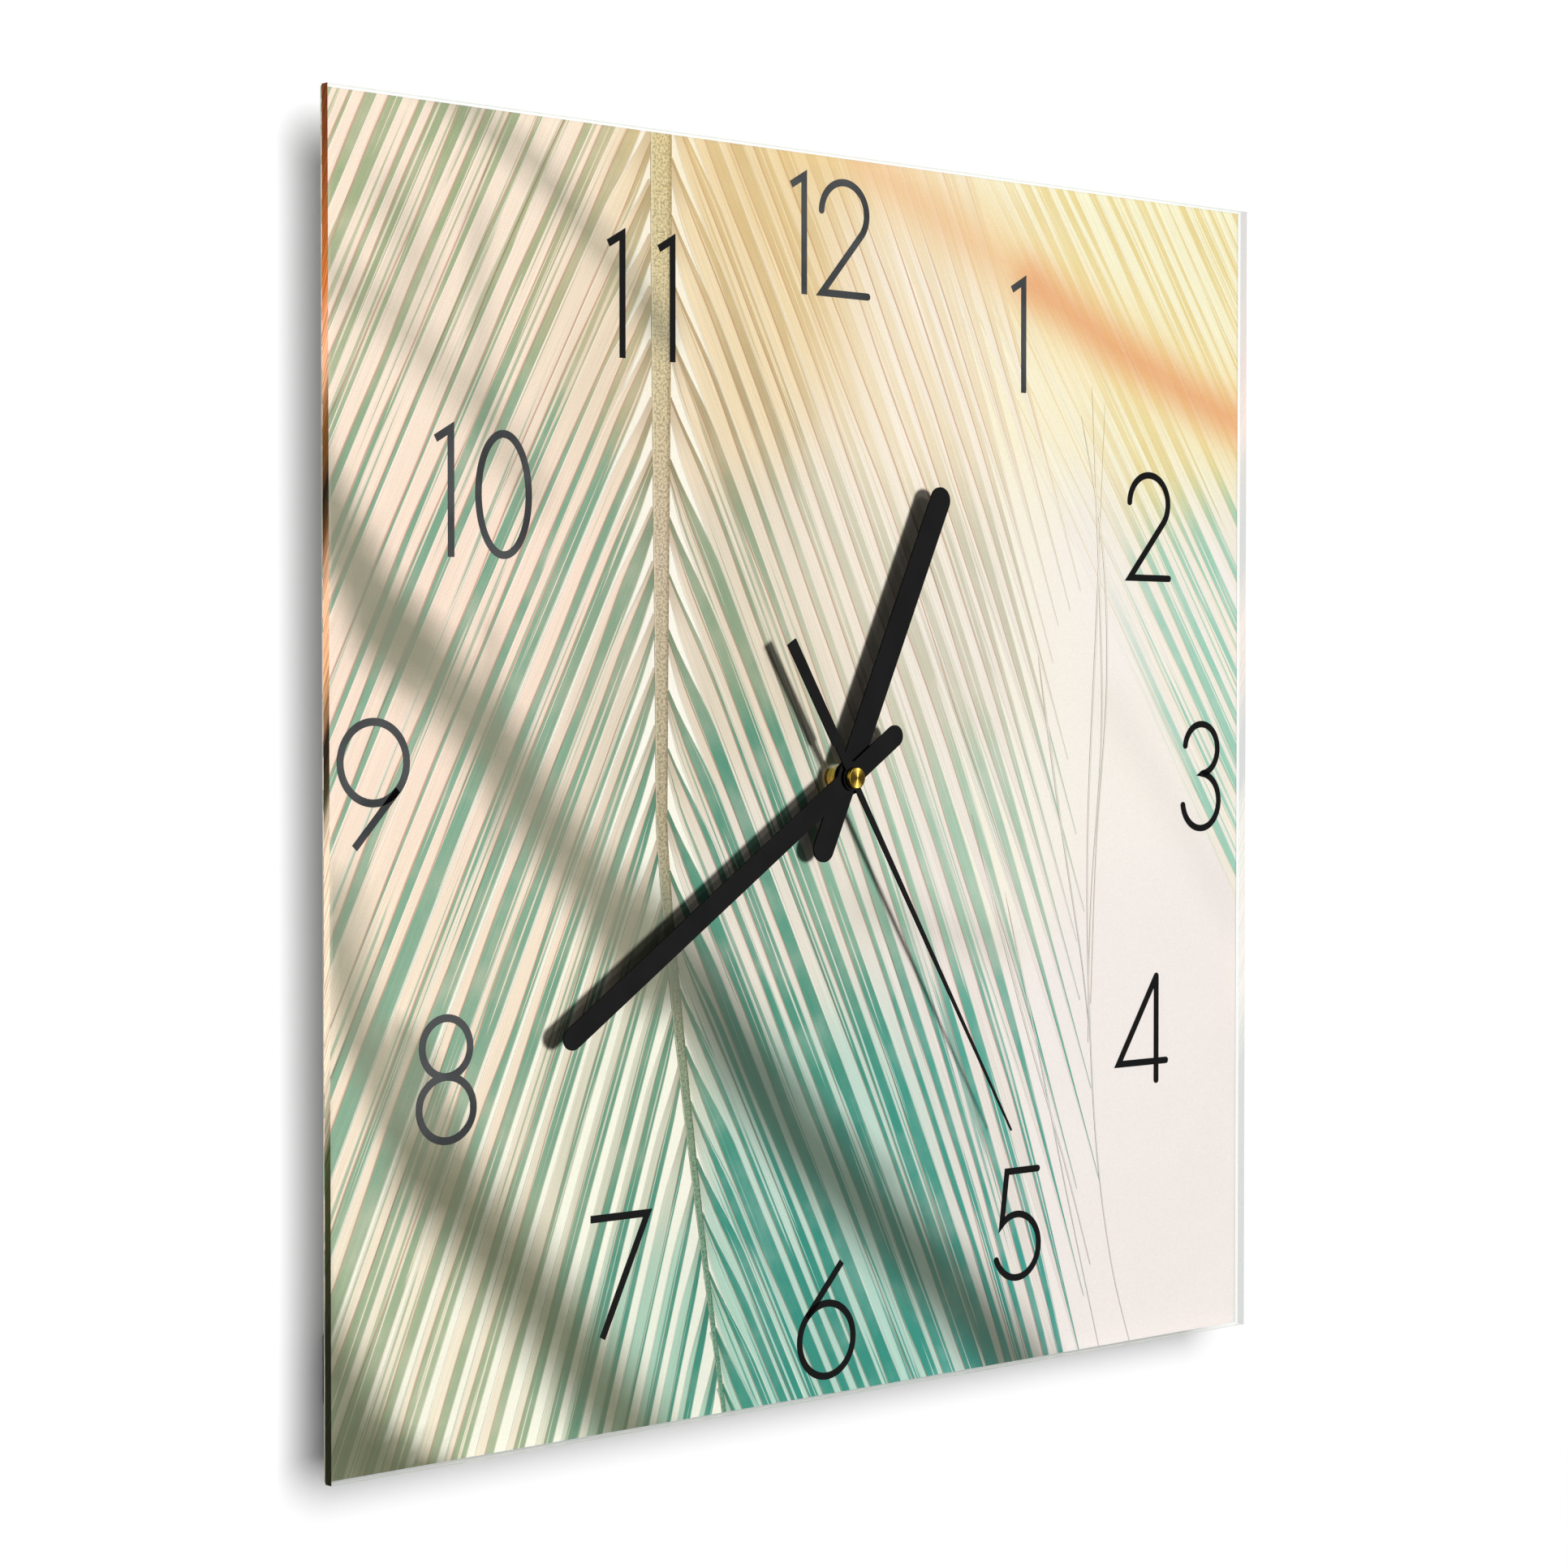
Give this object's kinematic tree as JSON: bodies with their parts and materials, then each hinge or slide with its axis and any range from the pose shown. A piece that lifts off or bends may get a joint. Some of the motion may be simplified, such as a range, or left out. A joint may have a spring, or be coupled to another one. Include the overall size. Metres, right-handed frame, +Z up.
{
  "type": "wall clock",
  "caption": "Frameless square glass wall clock with a printed palm-frond face, thin numerals, flat black hands and a battery quartz movement behind.",
  "frame": {"origin": "on the movement's rear face, where it meets the wall, on the axis of the hands", "axes": "+X to the viewer's right, +Z up, +Y into the wall; the dial faces -Y"},
  "size_m": [0.3, 0.0261, 0.3],
  "materials": {
    "clear_glass": "clear, polished edges",
    "printed_film": "satin print in pale cream, sage green, teal and yellow",
    "black_foam": "matte foam",
    "black_case": "fine grain",
    "hand_black": "matt black",
    "polished_brass": "turned, radial brushing",
    "plated_steel": "plain",
    "cell_sleeve": "satin sleeve",
    "white_plastic": "moulded",
    "amber_plastic": "moulded",
    "copper_wire": "enamelled copper",
    "green_board": "solder mask",
    "black_resin": "cast",
    "magnet_grey": "sintered"
  },
  "bodies": {
    "clock_body": {"glass_panel": "clear_glass", "print_film": "printed_film", "mounting_pad": "black_foam", "wall_spacer_left": "black_foam", "wall_spacer_right": "black_foam", "case_front": "black_case", "rear_cover": "black_case", "cover_screw_left": "plated_steel", "cover_screw_right": "plated_steel", "hanger": "plated_steel", "centre_bush": "polished_brass", "middle_plate": "white_plastic", "battery_contact_positive": "plated_steel", "battery_contact_negative": "plated_steel", "coil_bobbin": "white_plastic", "coil_winding": "copper_wire", "coil_core": "plated_steel", "stator_plate": "plated_steel", "circuit_board": "green_board", "timer_chip": "black_resin", "quartz_crystal": "plated_steel"},
    "second_group": {"second_wheel": "amber_plastic", "second_hand": "hand_black", "hand_cap": "polished_brass"},
    "minute_group": {"cannon_pinion": "polished_brass", "minute_hand": "hand_black"},
    "hour_group": {"hour_wheel": "polished_brass", "hour_hand": "hand_black"},
    "setting_group": {"setting_wheel": "white_plastic", "setting_knob": "black_case"},
    "rotor_group": {"rotor": "magnet_grey"},
    "intermediate_group": {"intermediate_wheel": "white_plastic"},
    "third_group": {"third_wheel": "white_plastic"},
    "centre_group": {"centre_wheel": "amber_plastic"},
    "battery_group": {"battery": "cell_sleeve"}
  },
  "joints": [
    {"name": "second_hand_turn", "type": "hinge", "parent": "clock_body", "child": "second_group", "pos_m": [0, -0.005, 0], "axis": [0, 1, 0], "continuous": true},
    {"name": "minute_hand_turn", "type": "hinge", "parent": "clock_body", "child": "minute_group", "pos_m": [0, -0.005, 0], "axis": [0, 1, 0], "continuous": true},
    {"name": "hour_hand_turn", "type": "hinge", "parent": "clock_body", "child": "hour_group", "pos_m": [0, -0.005, 0], "axis": [0, 1, 0], "continuous": true},
    {"name": "setting_knob_turn", "type": "hinge", "parent": "clock_body", "child": "setting_group", "pos_m": [0.012, -0.005, 0], "axis": [0, 1, 0], "continuous": true},
    {"name": "rotor_turn", "type": "hinge", "parent": "clock_body", "child": "rotor_group", "pos_m": [0.00495, -0.005, 0.01575], "axis": [0, 1, 0], "continuous": true},
    {"name": "intermediate_wheel_turn", "type": "hinge", "parent": "clock_body", "child": "intermediate_group", "pos_m": [0, -0.005, 0.0108], "axis": [0, 1, 0], "continuous": true},
    {"name": "third_wheel_turn", "type": "hinge", "parent": "clock_body", "child": "third_group", "pos_m": [-0.0108, -0.005, 0], "axis": [0, 1, 0], "continuous": true},
    {"name": "centre_wheel_turn", "type": "hinge", "parent": "clock_body", "child": "centre_group", "pos_m": [0, -0.005, 0], "axis": [0, 1, 0], "continuous": true},
    {"name": "battery_slide", "type": "slide", "parent": "clock_body", "child": "battery_group", "axis": [0, 1, 0], "range_m": [0, 0.018]}
  ],
  "couplings": [
    {"joint": "rotor_turn", "follows": "second_hand_turn", "ratio": 30},
    {"joint": "intermediate_wheel_turn", "follows": "second_hand_turn", "ratio": -5},
    {"joint": "third_wheel_turn", "follows": "second_hand_turn", "ratio": -0.125},
    {"joint": "centre_wheel_turn", "follows": "second_hand_turn", "ratio": 0.016667},
    {"joint": "setting_knob_turn", "follows": "minute_hand_turn", "ratio": -0.33333},
    {"joint": "hour_hand_turn", "follows": "minute_hand_turn", "ratio": 0.083333}
  ]
}
